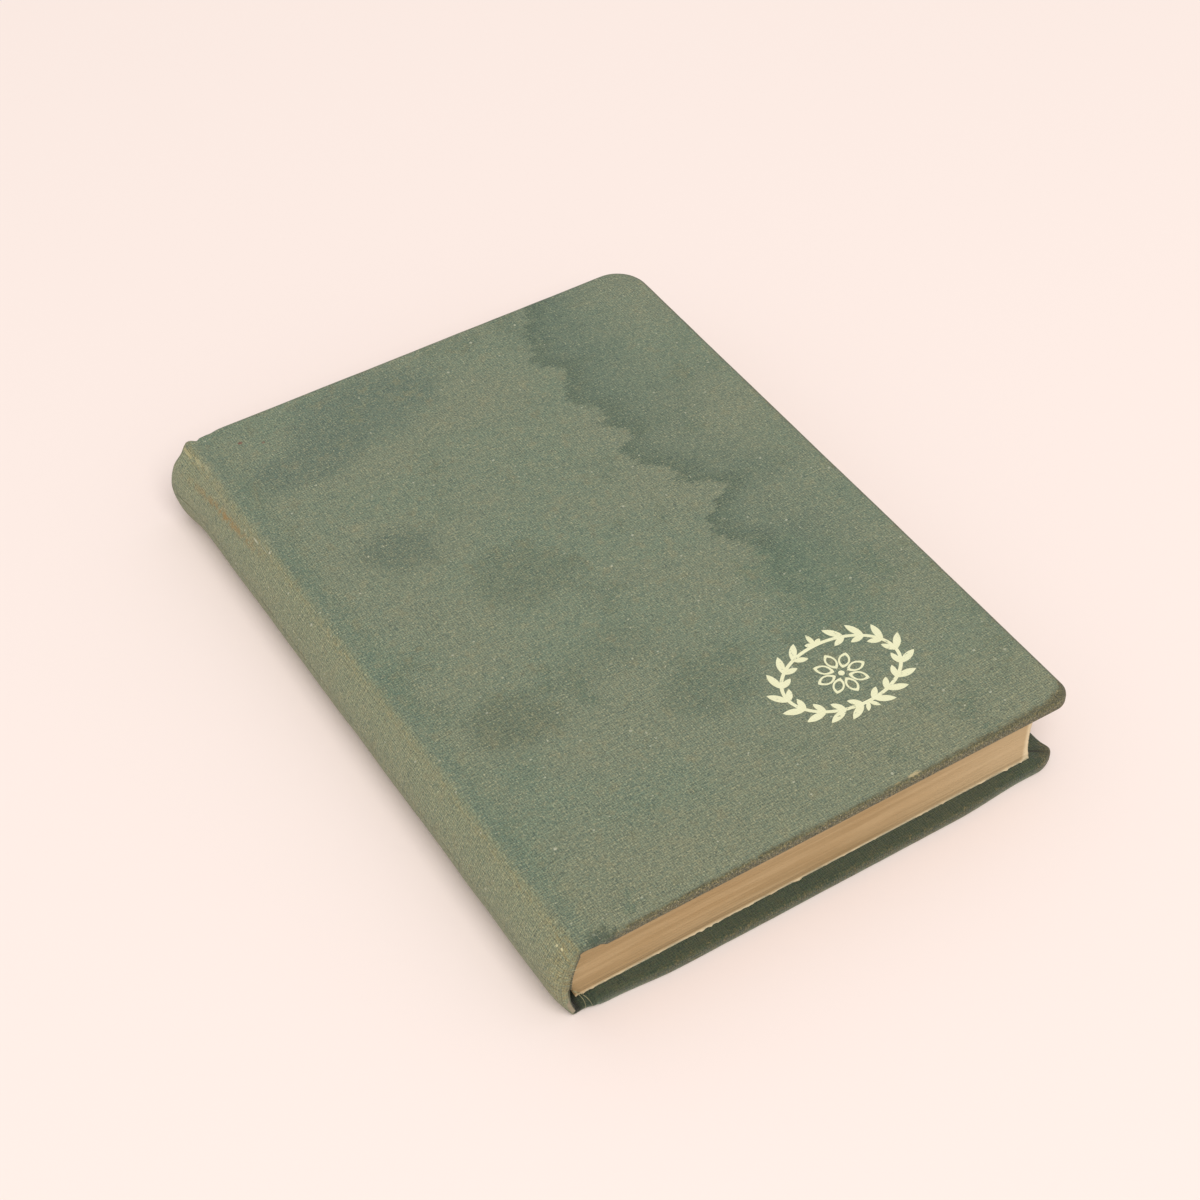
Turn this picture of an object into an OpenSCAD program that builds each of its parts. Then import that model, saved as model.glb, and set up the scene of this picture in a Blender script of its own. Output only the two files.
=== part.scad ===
// Cloth-bound hardback book, lying closed on its back cover.
// Millimetres. Origin at the middle of the book's footprint, on the surface it lies on.
// X runs from the spine to the fore edge, Y from tail to head, Z up through the front cover.

/* [Book] */
// Height of the covers from tail to head
cover_h = 192; // [150:1:240]
// Width of the closed book from the back of the spine to the front cover's fore edge
cover_w = 140.5; // [110:0.5:180]
// Thickness of the closed book over both covers
book_t = 24.1; // [18:0.1:40]
// How far the front cover has slipped towards the fore edge, against the back cover
lean = 1.5; // [0:0.1:2.5]

/* [Covers] */
// Thickness of the bare board
board_t = 2.3; // [1.8:0.1:3]
// Thickness of the book cloth
cloth_t = 0.45; // [0.3:0.05:0.6]
// Width of the cloth turned in over the board's inner face
turn_in = 15; // [11:0.5:20]
// Radius of the cloth where it goes round a board's edge
edge_r = 0.9; // [0.6:0.1:1.3]
// Front cover's corner radius at tail and fore edge
front_tail_r = 4.5; // [1:0.5:12]
// Front cover's corner radius at head and fore edge, where it is bumped
front_head_r = 9; // [1:0.5:12]
// Back cover's corner radius at tail and fore edge
back_tail_r = 5.5; // [1:0.5:12]
// Back cover's corner radius at head and fore edge
back_head_r = 5; // [1:0.5:12]
// Width of the fold line where two turn-ins meet at a corner
mitre_w = 0.35; // [0.2:0.05:0.6]
// Depth of that fold line
mitre_depth = 0.2; // [0.1:0.05:0.3]

/* [Pages] */
// How far the covers stand out past the pages at head and tail
square = 3.1; // [2:0.1:5]
// How far the front cover stands out past the pages at the fore edge
fore_square = 7.4; // [3:0.1:9]
// Thickness of one leaf of endpaper
leaf_t = 0.15; // [0.1:0.05:0.3]
// Clearance between a flyleaf and its pasted-down half
leaf_gap = 0.05; // [0.02:0.01:0.1]
// Rounding of the pages' back, from the shoulders out to the middle
back_round = 2.65; // [1:0.05:4]
// Hollow of the pages' fore edge
fore_hollow = 1.1; // [0.5:0.1:3]

/* [Spine] */
// How far the back of the spine stands out past its shoulders
spine_depth = 5; // [4.6:0.1:6]
// Roundness of the spine: 2 is a parabola, more is flatter in the middle
spine_round = 1.9; // [1.7:0.05:2.2]
// Drop from the cover's face to the spine's shoulder
shoulder_drop = 0.6; // [0.4:0.1:1]
// Thickness of the card that stiffens the hollow spine
liner_t = 0.8; // [0.4:0.1:1.2]
// How far the spine's ends curl in towards the pages
end_curl = 2.8; // [1:0.1:3.2]
// Length of that curl along the spine
curl_len = 6; // [3:0.5:9]
// Distance from the spine's back to the pages' shoulder
hollow_w = 8.2; // [8:0.1:9]

/* [Joints] */
// Distance from the spine's shoulder to the line that a cover turns about
hinge_in = 1.7; // [1.5:0.1:2]
// Depth of that line under the cover's face
hinge_depth = 2.1; // [1.9:0.1:2.3]
// Distance from that line to the edge of the board
board_reach = 5.4; // [5.2:0.1:6]
// Depth of the groove in the cloth along the joint
groove_depth = 1.3; // [0.8:0.1:1.4]
// Radius round the hinge line that the moving cloth stays out of
swing_r = 4.6; // [4.3:0.1:4.7]
// Clearance between the spine's cloth and the moving cloth
swing_gap = 0.3; // [0.2:0.05:0.5]

/* [Linings] */
// Thickness of the open-weave cloth glued over the pages' back
mull_t = 0.2; // [0.1:0.05:0.3]
// Width of that cloth's flange on each board
flange_w = 25; // [15:1:35]
// How far that cloth stops short of the pages at head and tail
mull_inset = 10; // [5:1:20]
// Clearance between its flange and the turned-in book cloth
flange_gap = 0.5; // [0.3:0.1:2]
// Thickness of the brown paper over it
lining_t = 0.15; // [0.1:0.05:0.3]

/* [Stamp] */
// Thickness of the stamped foil
foil_t = 0.05; // [0.03:0.01:0.1]
// Width of the foil's lines
foil_line = 0.9; // [0.6:0.1:1.2]
// Distance of the ornament's middle from the fore edge
stamp_from_fore = 41; // [30:1:60]
// Distance of the ornament's middle from the tail
stamp_from_tail = 34.5; // [25:0.5:60]
// Width of the wreath along X, to the middle of its stem
wreath_w = 31; // [24:0.5:34]
// Height of the wreath along Y, to the middle of its stem
wreath_h = 21; // [18:0.5:24]
// Number of leaf pairs on both branches of the wreath
leaf_pairs = 16; // [10:2:18]
// Length of a leaf of the wreath, as a share of the wreath's width
leaf_share = 0.18; // [0.13:0.01:0.19]
// Number of petals in the rosette
petals = 8; // [5:1:12]
// Length of a petal, as a share of the wreath's height
petal_share = 0.24; // [0.18:0.01:0.25]

/* [Hidden] */

// Room left inside a fold of the cloth
fold_gap = 0.03;
cover_t = board_t + 2 * cloth_t;
inside_t = cover_t + leaf_t;
page_low = inside_t + leaf_gap;
pages_t = book_t - 2 * page_low;
hinge_x = spine_depth + hinge_in;
board_x = hinge_x + board_reach;
board_end = cover_w - lean / 2;
page_end = cover_w - fore_square;
page_h = cover_h - 2 * square;
flange_from = max(square + mull_inset, turn_in + flange_gap);
leaf_len = leaf_share * wreath_w;
// Angles round the oval of a branch's first and last leaf pair
branch_from = -84;
branch_to = 56;
curve_steps = 8;
corner_steps = 6;
edge_steps = 3;
front = 1;
back = -1;

// Sideways slip of everything at height z, none at half height
function slip(z) = lean * (z / book_t - 0.5);

// Points of a half circle or less, as [x, y]
function arc(cx, cy, r, from, to, steps) = [for (i = [0:steps]) let (a = from + (to - from) * i / steps)
    [cx + r * cos(a), cy + r * sin(a)]];

function reverse(list) = [for (i = [len(list) - 1:-1:0]) list[i]];

// Faces of a skin over rings of n points each, closed at its ends by the faces of a cap
function skin_faces(n, rings, cap) = concat(
    cap,
    [for (k = [0:rings - 2]) for (i = [0:n - 1]) each [
        [k * n + i, (k + 1) * n + i, k * n + (i + 1) % n],
        [k * n + (i + 1) % n, (k + 1) * n + i, (k + 1) * n + (i + 1) % n]]],
    [for (face = cap) [for (i = reverse(face)) (rings - 1) * n + i]]);

// One face over a ring that bulges all round
function round_cap(n) = [[for (i = [0:n - 1]) i]];

// Quads across a strip whose two edges are runs of the ring, from a up and from b down
function strip_cap(a, b, count) = [for (k = [0:count - 1]) [a + k, a + k + 1, b - k - 1, b - k]];

// Path of the cloth round the spine

// One end of the path, from the shoulder down into the groove, as [x, drop from the cover's face]
function groove_path() = let (x = spine_depth, s = shoulder_drop, d = groove_depth) [
    [x + 0.7, s * 0.5],
    [x + 1.6, s * 0.45],
    [x + 2.6, d * 0.62],
    [x + 3.6, d * 0.95],
    [hinge_x + swing_r - swing_gap, d]];

function curl(from_end) = let (u = max(0, 1 - from_end / curl_len)) end_curl * (1 - sqrt(1 - u * u));

// A point of the rounded back, where s runs from -1 at the back shoulder to 1 at the front one
function back_point(s, curled) = let (
    z = book_t / 2 + s * (book_t / 2 - shoulder_drop),
    bulge = 1 - pow(abs(s), spine_round))
    [spine_depth * (1 - bulge) + curled * bulge + slip(z), z];

// Leftmost point of the back, which is brought to x = 0
back_least = min([for (i = [-curve_steps:curve_steps]) back_point(i / curve_steps, 0)[0]]);

// The whole outer path at a distance from the nearer end of the spine
function outer_path(from_end) = let (grooves = groove_path(), c = curl(from_end), n = curve_steps) concat(
    [for (p = reverse(grooves)) [p[0] - lean / 2, p[1]]],
    [for (i = [-n:n]) back_point(i / n, c) - [back_least, 0]],
    [for (p = grooves) [p[0] + lean / 2, book_t - p[1]]]);

path_n = 2 * len(groove_path()) + 2 * curve_steps + 1;
// The liner stops one point short of each shoulder
liner_from = len(groove_path()) + 1;
liner_to = path_n - 1 - liner_from;

// The path moved inwards by a depth of its own at each point
function inner_path(path, depths) = [for (i = [0:len(path) - 1]) let (
    a = path[max(i - 1, 0)],
    b = path[min(i + 1, len(path) - 1)],
    along = (b - a) / norm(b - a))
    path[i] + depths[i] * [along[1], -along[0]]];

// Distances from an end of the spine at which its curl needs a point
curl_marks = [for (a = [0:18:90]) curl_len * (1 - cos(a))];
// The same on the inner side of the fold, which starts one cloth further in
fold_marks = [for (d = curl_marks) cloth_t + d * (1 - cloth_t / curl_len)];

function at_head(ys) = [for (y = ys) cover_h - y];

// Room between the two layers of a turn-in: the liner, or nearly nothing beside it
function room(i) = i >= liner_from && i <= liner_to ? liner_t : fold_gap;

on_sheet = [for (i = [0:path_n - 1]) 0];
under_sheet = [for (i = [0:path_n - 1]) cloth_t];
over_fold = [for (i = [0:path_n - 1]) cloth_t + room(i)];
under_fold = [for (i = [0:path_n - 1]) 2 * cloth_t + room(i)];

// Lines of points along the path, one at each station and each at a depth of its own
function columns(ys, depths) = [for (y = ys)
    [for (p = inner_path(outer_path(min(y, cover_h - y)), depths)) [p[0], y, p[1]]]];

// A solid skinned over such lines, from one point of the path to another
module skin_columns(lines, first, last, cap) {
    rings = [for (i = [last:-1:first]) [for (line = lines) line[i]]];
    polyhedron([for (r = rings) each r], skin_faces(len(lines), len(rings), cap));
}

// The cloth is one sheet, folded back over the liner at head and tail
module folded_sheet() {
    m = len(curl_marks);
    sheet = 2 * m;
    fold = m + 1;
    last = 2 * sheet + 4 * fold - 1;
    outer_fold = concat(curl_marks, [turn_in]);
    inner_fold = concat(fold_marks, [turn_in]);
    skin_columns(
        concat(
            columns(concat(curl_marks, reverse(at_head(curl_marks))), on_sheet),
            columns(at_head(outer_fold), under_fold),
            columns(reverse(at_head(inner_fold)), over_fold),
            columns(concat(at_head(fold_marks), reverse(fold_marks)), under_sheet),
            columns(inner_fold, over_fold),
            columns(reverse(outer_fold), under_fold)),
        0, path_n - 1,
        concat(
            strip_cap(0, last - 2 * fold, sheet - 1),
            [[last - 2 * fold, last - 2 * fold + 1, last, 0]],
            strip_cap(last - 2 * fold + 1, last, fold - 1),
            [[sheet - 1, sheet, sheet + 2 * fold - 1, sheet + 2 * fold]],
            strip_cap(sheet, sheet + 2 * fold - 1, fold - 1)));
}

module liner_layer() {
    marks = concat(fold_marks, reverse(at_head(fold_marks)));
    skin_columns(concat(columns(marks, under_sheet), columns(reverse(marks), over_fold)),
        liner_from, liner_to, strip_cap(0, 2 * len(marks) - 1, len(marks) - 1));
}

// Covers, drawn with their outer face down and then placed

module place_cover(side) {
    if (side == front) {
        translate([lean / 2, 0, book_t]) mirror([0, 0, 1]) children();
    } else {
        translate([-lean / 2, 0, 0]) children();
    }
}

function tail_r(side) = side == front ? front_tail_r : back_tail_r;
function head_r(side) = side == front ? front_head_r : back_head_r;

// One level of a rounded plate, drawn in by d on the three free sides and by spine_d on the joint's side
function plate_ring(side, inset, from_x, spine_d, d, z) = let (
    x1 = board_end - inset - d,
    y0 = inset + d,
    y1 = cover_h - inset - d,
    rt = max(tail_r(side) - inset - d, 0.1),
    rh = max(head_r(side) - inset - d, 0.1),
    outline = concat(
        [[from_x + spine_d, y1]],
        [[from_x + spine_d, y0]],
        arc(x1 - rt, y0 + rt, rt, -90, 0, corner_steps),
        arc(x1 - rh, y1 - rh, rh, 0, 90, corner_steps)))
    [for (p = outline) [p[0], p[1], z]];

// A plate with rounded corners and edges, set in from the cover's outline
module plate(side, inset, from_x, low, high, r, spine_r) {
    turns = [for (i = [0:edge_steps]) 90 * i / edge_steps];
    levels = concat(
        [for (a = turns) [1 - sin(a), low + r * (1 - cos(a))]],
        [for (a = reverse(turns)) [1 - sin(a), high - r * (1 - cos(a))]]);
    rings = [for (v = levels) plate_ring(side, inset, from_x, spine_r * v[0], r * v[0], v[1])];
    n = len(rings[0]);
    polyhedron([for (k = rings) each k], skin_faces(n, len(rings), round_cap(n)));
}

module board_blank(side, from_x) {
    plate(side, cloth_t, from_x, cloth_t, cloth_t + board_t, edge_r / 2, edge_r / 2);
}

// Cloth that climbs out of the groove onto the board, seen from the tail
module joint_lip() {
    x0 = hinge_x + swing_r;
    x1 = board_x + edge_r / 2;
    outer = [for (i = [0:5]) let (u = i / 5) [x0 + (x1 - x0) * u, groove_depth * (1 - u * u * (3 - 2 * u))]];
    top = concat(outer, [[board_x + 2 * edge_r, 0]]);
    translate([0, cover_h, 0]) rotate([90, 0, 0]) linear_extrude(height = cover_h)
        polygon(concat(top, [for (p = reverse(top)) p + [0, cloth_t]]));
}

module mitre_lines() {
    x = board_end - turn_in / 2;
    for (v = [[turn_in / 2, 1], [cover_h - turn_in / 2, -1]]) {
        translate([x, v[0], cover_t]) rotate([0, 0, -45 * v[1]])
            cube([turn_in * sqrt(2) + 1, mitre_w, 2 * mitre_depth], center = true);
    }
}

module cover_cloth(side) {
    shell_x = board_x + edge_r / 2;
    union() {
        difference() {
            plate(side, 0, shell_x, 0, cover_t, edge_r, 0);
            board_blank(side, shell_x - 2);
            translate([shell_x - 1, turn_in, cloth_t + board_t / 2])
                cube([board_end - turn_in - shell_x + 1, cover_h - 2 * turn_in, cover_t]);
            mitre_lines();
        }
        joint_lip();
    }
}

// Block over the flange of the pages' lining, between the turn-ins at tail and head, grown on three sides
module flange_block(low, high, grow) {
    translate([board_x, flange_from - grow, low])
        cube([flange_w + grow, cover_h - 2 * flange_from + 2 * grow, high - low]);
}

module mull_flange() {
    flange_block(cloth_t + board_t, cloth_t + board_t + mull_t, 0);
}

// Blocks that fill what lies under the pasted-down leaf, grown by one leaf to give its upper side
module under_leaf(grow) {
    level = cloth_t + board_t;
    far = 400;
    translate([-far, -far, level + grow - far]) cube([2 * far, 2 * far, far]);
    flange_block(0, level + mull_t + grow, grow);
    translate([-far, -far, 0]) cube([2 * far, far + turn_in + grow, cover_t + grow]);
    translate([-far, cover_h - turn_in - grow, 0]) cube([2 * far, far, cover_t + grow]);
    translate([board_end - turn_in - grow, 0, 0]) cube([far, cover_h, cover_t + grow]);
}

module pastedown(side) {
    start = hinge_x + swing_r;
    end = page_end - side * lean / 2;
    difference() {
        intersection() {
            translate([start, square, 0]) cube([end - start, page_h, inside_t + 1]);
            under_leaf(leaf_t);
        }
        under_leaf(0);
    }
}

// Pages

// Outline of the pages seen from the tail, as [x, z], set in by a margin at the bottom and top
function page_outline(low, high) = let (
    steps = 12,
    mid = book_t / 2,
    half = pages_t / 2,
    level = [for (i = [0:steps]) low + (high - low) * i / steps],
    dome = [for (z = level) 1 - pow((z - mid) / half, 2)],
    back_side = [for (i = [0:steps]) [hollow_w - back_round * dome[i] + slip(level[i]), level[i]]],
    fore_side = [for (i = [0:steps]) [page_end - fore_hollow * dome[i], level[i]]])
    concat(back_side, reverse(fore_side));

module along_pages(inset) {
    translate([0, cover_h - square - inset, 0]) rotate([90, 0, 0])
        linear_extrude(height = page_h - 2 * inset) children();
}

// A layer glued over the pages' back, from one depth to another
module back_layer(from_t, to_t) {
    low = page_low + leaf_t;
    high = book_t - low;
    outline = page_outline(low, high);
    n = len(outline) / 2;
    back_side = [for (i = [0:n - 1]) outline[i]];
    along_pages(mull_inset)
        polygon(concat([for (p = back_side) p - [from_t, 0]], [for (p = reverse(back_side)) p - [to_t, 0]]));
}

module flyleaf(z) {
    along_pages(0) polygon(page_outline(z, z + leaf_t));
}

// Foil ornament: an oval wreath round a rosette

// Leaf outline with its base at the origin, pointing along X
module leaf(length, width) {
    r = (length * length / 4 + width * width / 4) / width;
    intersection() {
        translate([length / 2, width / 2 - r]) circle(r = r, $fn = 64);
        translate([length / 2, r - width / 2]) circle(r = r, $fn = 64);
    }
}

module open_leaf(length, width) {
    difference() {
        leaf(length, width);
        translate([foil_line, 0]) leaf(length - 2 * foil_line, width - foil_line);
    }
}

// One branch, with its leaf pairs from the tail round the fore side towards the bud
module branch() {
    count = leaf_pairs / 2;
    // Evens out the pairs' spacing along the oval
    ease = 90 / PI * (wreath_w - wreath_h) / (wreath_w + wreath_h);
    for (i = [0:count - 1]) {
        t = branch_from + (branch_to - branch_from) * i / (count - 1);
        a = t + ease * sin(2 * t);
        run = atan2(wreath_h * cos(a), -wreath_w * sin(a));
        translate([wreath_w / 2 * cos(a), wreath_h / 2 * sin(a)]) {
            rotate(run - 32) leaf(leaf_len, leaf_len * 0.34);
            rotate(run + 40) leaf(leaf_len * 0.7, leaf_len * 0.28);
        }
    }
}

// Bud at the head, and the two ends of the stem that part at the tail
module bud_and_ends() {
    translate([0, wreath_h / 2]) for (turn = [-60, 0, 60]) {
        rotate(90 + turn) leaf(leaf_len * (turn == 0 ? 0.7 : 0.45), leaf_len * 0.24);
    }
    translate([0, -wreath_h / 2]) for (turn = [-35, 35]) {
        rotate(turn - 90) leaf(leaf_len * 0.55, leaf_len * 0.2);
    }
}

module wreath() {
    for (side = [0, 1]) {
        mirror([side, 0]) branch();
    }
    bud_and_ends();
}

module stem() {
    difference() {
        scale([wreath_w + foil_line, wreath_h + foil_line]) circle(d = 1, $fn = 72);
        scale([wreath_w - foil_line, wreath_h - foil_line]) circle(d = 1, $fn = 72);
    }
}

module rosette() {
    petal_len = petal_share * wreath_h;
    hub = petal_len * 0.28;
    circle(r = hub * 0.55, $fn = 24);
    for (i = [0:petals - 1]) {
        rotate(i * 360 / petals) translate([hub + 0.25, 0]) open_leaf(petal_len, petal_len * 0.56);
    }
}

// Nodes

module centred() {
    translate([-cover_w / 2, -cover_h / 2, 0]) children();
}

module page_block() {
    low = page_low + leaf_t;
    color([0.76, 0.65, 0.47]) centred() along_pages(0) polygon(page_outline(low, book_t - low));
}

module front_flyleaf() {
    color([0.86, 0.8, 0.68]) centred() flyleaf(book_t - page_low - leaf_t);
}

module back_flyleaf() {
    color([0.86, 0.8, 0.68]) centred() flyleaf(page_low);
}

module spine_mull() {
    color([0.85, 0.82, 0.72]) centred() back_layer(0, mull_t);
}

module spine_lining() {
    color([0.62, 0.49, 0.34]) centred() back_layer(mull_t, mull_t + lining_t);
}

module spine_liner() {
    color([0.6, 0.56, 0.48]) centred() liner_layer();
}

module spine_cloth() {
    color([0.5, 0.54, 0.44]) centred() folded_sheet();
}

module front_board() {
    color([0.6, 0.54, 0.42]) centred() place_cover(front) board_blank(front, board_x);
}

module front_cloth() {
    color([0.5, 0.53, 0.43]) centred() place_cover(front) cover_cloth(front);
}

module front_mull_flange() {
    color([0.85, 0.82, 0.72]) centred() place_cover(front) mull_flange();
}

module front_pastedown() {
    color([0.86, 0.8, 0.68]) centred() place_cover(front) pastedown(front);
}

module foil_stamp() {
    color([0.94, 0.93, 0.78]) centred()
        translate([cover_w - stamp_from_fore, stamp_from_tail, book_t])
            linear_extrude(height = foil_t) {
                stem();
                wreath();
                rosette();
            }
}

module back_board() {
    color([0.6, 0.54, 0.42]) centred() place_cover(back) board_blank(back, board_x);
}

module back_cloth() {
    color([0.5, 0.53, 0.43]) centred() place_cover(back) cover_cloth(back);
}

module back_mull_flange() {
    color([0.85, 0.82, 0.72]) centred() place_cover(back) mull_flange();
}

module back_pastedown() {
    color([0.86, 0.8, 0.68]) centred() place_cover(back) pastedown(back);
}

page_block();
front_flyleaf();
back_flyleaf();
spine_mull();
spine_lining();
spine_liner();
spine_cloth();
front_board();
front_cloth();
front_mull_flange();
front_pastedown();
foil_stamp();
back_board();
back_cloth();
back_mull_flange();
back_pastedown();
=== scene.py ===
import math

import bmesh
import bpy
import numpy as np
from mathutils import Matrix, Vector, noise


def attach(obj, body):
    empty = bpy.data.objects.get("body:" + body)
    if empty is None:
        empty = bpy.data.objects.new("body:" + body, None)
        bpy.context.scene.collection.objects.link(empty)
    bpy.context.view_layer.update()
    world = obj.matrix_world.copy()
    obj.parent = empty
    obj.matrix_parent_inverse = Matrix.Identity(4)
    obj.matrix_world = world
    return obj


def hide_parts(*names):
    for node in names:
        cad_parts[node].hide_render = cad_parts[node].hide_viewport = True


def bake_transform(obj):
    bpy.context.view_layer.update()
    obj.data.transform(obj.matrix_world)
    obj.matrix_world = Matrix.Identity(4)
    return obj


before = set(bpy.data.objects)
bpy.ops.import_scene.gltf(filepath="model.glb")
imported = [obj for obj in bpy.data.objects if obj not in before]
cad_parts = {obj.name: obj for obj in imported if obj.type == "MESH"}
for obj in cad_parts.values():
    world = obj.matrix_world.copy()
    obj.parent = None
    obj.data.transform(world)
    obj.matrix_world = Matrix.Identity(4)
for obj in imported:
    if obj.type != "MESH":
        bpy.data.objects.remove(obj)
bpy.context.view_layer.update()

MM = 0.001
FRONT = 1
BACK = -1

# The book's measures in millimetres, as in the CAD source
COVER_H = 192
COVER_W = 140.5
BOOK_T = 24.1
LEAN = 1.5
COVER_T = 3.2
EDGE_R = 0.9
TURN_IN = 15
CORNER_R = {FRONT: (4.5, 9), BACK: (5.5, 5)}
SQUARE = 3.1
PAGE_END = 133.1
PAGE_LOW = 3.55
HOLLOW_W = 8.2
BACK_ROUND = 2.65
FORE_HOLLOW = 1.1
SPINE_DEPTH = 5
SPINE_ROUND = 1.9
SHOULDER_DROP = 0.6
LINER_T = 0.8
END_CURL = 2.8
CURL_LEN = 6
BOARD_X = 12.1
BOARD_END = COVER_W - LEAN / 2
HALF_H = COVER_H / 2
# How far under a cover's outer face its endpaper lies
ENDPAPER_DEPTH = 3.37
# Joint groove of a cover: distance from the spine and depth under the cover's face
JOINT_GROOVE = [
    (5.7, 0.34), (6.6, 0.42), (7.6, 0.6), (8.6, 0.78), (9.6, 0.8), (10.6, 0.66), (11.4, 0.45), (12.1, 0.26),
    (12.8, 0.11), (13.6, 0)]
# How much nearer the board a turn-in lies where the other one covers it at a corner's mitre
MITRE_LAP = 0.12
# Walls of the cloth and of the endpaper
CLOTH_WALL = 0.4
PAPER_WALL = 0.12
# Rows of the endpaper strip next to the leaves, as distances from the spine: where it starts, a glued width,
# and the width that these rows share out. The endpaper bends next to the leaves, over this width, with no
# row where it would sag under the floor
FOLD_START = HOLLOW_W + 0.4
FOLD_GLUED = 0.02
FOLD_BEND = 0.8
FOLD_ROWS = (0.2, 0.32, 0.42, 0.82, 0.9, 1)
# Side of the square that each cloth's maps are drawn on, and the widths on it of the cloth round an edge and
# under the board
CHART = 200
ROUND_EDGE = 4
UNDER_BOARD = 14

TO_ROW = Matrix.Diagonal((MM, MM, MM, 1)) @ Matrix.Translation((-COVER_W / 2, -COVER_H / 2, 0))


def srgb(red, green, blue):
    """A colour as a screen shows it, 0 to 255, turned into the linear values that a shader takes."""
    def linear(c):
        c = c / 255
        return c / 12.92 if c <= 0.04045 else ((c + 0.055) / 1.055) ** 2.4
    return (linear(red), linear(green), linear(blue), 1)


def smooth(t):
    """0 below 0, 1 above 1, smooth between."""
    t = np.clip(t, 0, 1)
    return t * t * (3 - 2 * t)


def rough(x, y, z, size):
    """Smooth noise from -1 to 1 over that many millimetres."""
    return noise.noise(Vector((x / size, y / size, z / size)))


def row_point(x, y, z):
    """A place in the book's millimetres, in the frame's metres."""
    return tuple(TO_ROW @ Vector((x, y, z)))


def finished(mesh, name):
    """The bmesh as a smooth-shaded object in the scene."""
    data = bpy.data.meshes.new(name)
    mesh.to_mesh(data)
    mesh.free()
    data.polygons.foreach_set("use_smooth", [True] * len(data.polygons))
    made = bpy.data.objects.new(name, data)
    bpy.context.scene.collection.objects.link(made)
    return made


def painted_with(obj, material):
    """The object with that material alone."""
    obj.data.materials.clear()
    obj.data.materials.append(material)
    return obj


# ---------------------------------------------------------------- materials


class Graph:
    """Short ways to add nodes to one material or one node group."""

    def __init__(self, tree):
        self.tree = tree

    def node(self, kind, **values):
        made = self.tree.nodes.new(kind)
        for name, value in values.items():
            setattr(made, name, value)
        return made

    def plug(self, socket, value):
        if isinstance(value, bpy.types.NodeSocket):
            self.tree.links.new(value, socket)
        elif value is not None:
            socket.default_value = value

    def calc(self, operation, a, b=None, c=None, clamp=False):
        made = self.node("ShaderNodeMath", operation=operation, use_clamp=clamp)
        for socket, value in zip(made.inputs, (a, b, c)):
            self.plug(socket, value)
        return made.outputs[0]

    def step(self, value, low, high):
        """0 below low, 1 above high, smooth between."""
        made = self.node("ShaderNodeMapRange", interpolation_type="SMOOTHSTEP")
        self.plug(made.inputs["Value"], value)
        self.plug(made.inputs["From Min"], low)
        self.plug(made.inputs["From Max"], high)
        return made.outputs["Result"]

    def scaled(self, vector, scale, turn=0, shift=(0, 0, 0)):
        made = self.node("ShaderNodeMapping")
        self.plug(made.inputs["Vector"], vector)
        made.inputs["Scale"].default_value = scale
        made.inputs["Rotation"].default_value = (0, 0, math.radians(turn))
        made.inputs["Location"].default_value = shift
        return made.outputs["Vector"]

    def noise(self, vector, scale, detail=2, roughness=0.5, distortion=0):
        made = self.node("ShaderNodeTexNoise")
        self.plug(made.inputs["Vector"], vector)
        made.inputs["Scale"].default_value = scale
        made.inputs["Detail"].default_value = detail
        made.inputs["Roughness"].default_value = roughness
        made.inputs["Distortion"].default_value = distortion
        return made.outputs["Fac"]

    def mix(self, factor, a, b, blend="MIX"):
        made = self.node("ShaderNodeMix", data_type="RGBA", blend_type=blend)
        self.plug(made.inputs["Factor"], factor)
        self.plug(made.inputs[6], a)
        self.plug(made.inputs[7], b)
        return made.outputs[2]

    def parts(self, vector):
        made = self.node("ShaderNodeSeparateXYZ")
        self.plug(made.inputs[0], vector)
        return made.outputs

    def ramp(self, value, stops):
        made = self.node("ShaderNodeValToRGB")
        self.plug(made.inputs[0], value)
        marks = made.color_ramp.elements
        while len(marks) < len(stops):
            marks.new(1)
        for mark, (place, shade) in zip(marks, stops):
            mark.position = place
            mark.color = shade if isinstance(shade, tuple) else (shade, shade, shade, 1)
        return made.outputs[0]

    def bump(self, height, distance, strength=1, normal=None):
        made = self.node("ShaderNodeBump")
        self.plug(made.inputs["Height"], height)
        made.inputs["Distance"].default_value = distance
        made.inputs["Strength"].default_value = strength
        self.plug(made.inputs["Normal"], normal)
        return made.outputs[0]

    def near(self, x, y, at, reach):
        """1 at a place, falling to 0 at its reach along x and y."""
        dx = self.calc("DIVIDE", self.calc("SUBTRACT", x, at[0]), reach[0])
        dy = self.calc("DIVIDE", self.calc("SUBTRACT", y, at[1]), reach[1])
        square = self.calc("ADD", self.calc("MULTIPLY", dx, dx), self.calc("MULTIPLY", dy, dy))
        return self.calc("SUBTRACT", 1, self.calc("SQRT", square), clamp=True)


def new_group(name, inputs, outputs):
    """A node group, with its inputs as {name: (kind, value)} and its outputs as {name: kind}."""
    tree = bpy.data.node_groups.new(name, "ShaderNodeTree")
    for label, (kind, value) in inputs.items():
        socket = tree.interface.new_socket(label, in_out="INPUT", socket_type=kind)
        if value is not None:
            socket.default_value = value
    for label, kind in outputs.items():
        tree.interface.new_socket(label, in_out="OUTPUT", socket_type=kind)
    return Graph(tree), tree.nodes.new("NodeGroupInput").outputs, tree.nodes.new("NodeGroupOutput").inputs


def use_group(graph, group, **inputs):
    made = graph.node("ShaderNodeGroup", node_tree=group)
    for label, value in inputs.items():
        graph.plug(made.inputs[label.replace("_", " ")], value)
    return made.outputs


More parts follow.
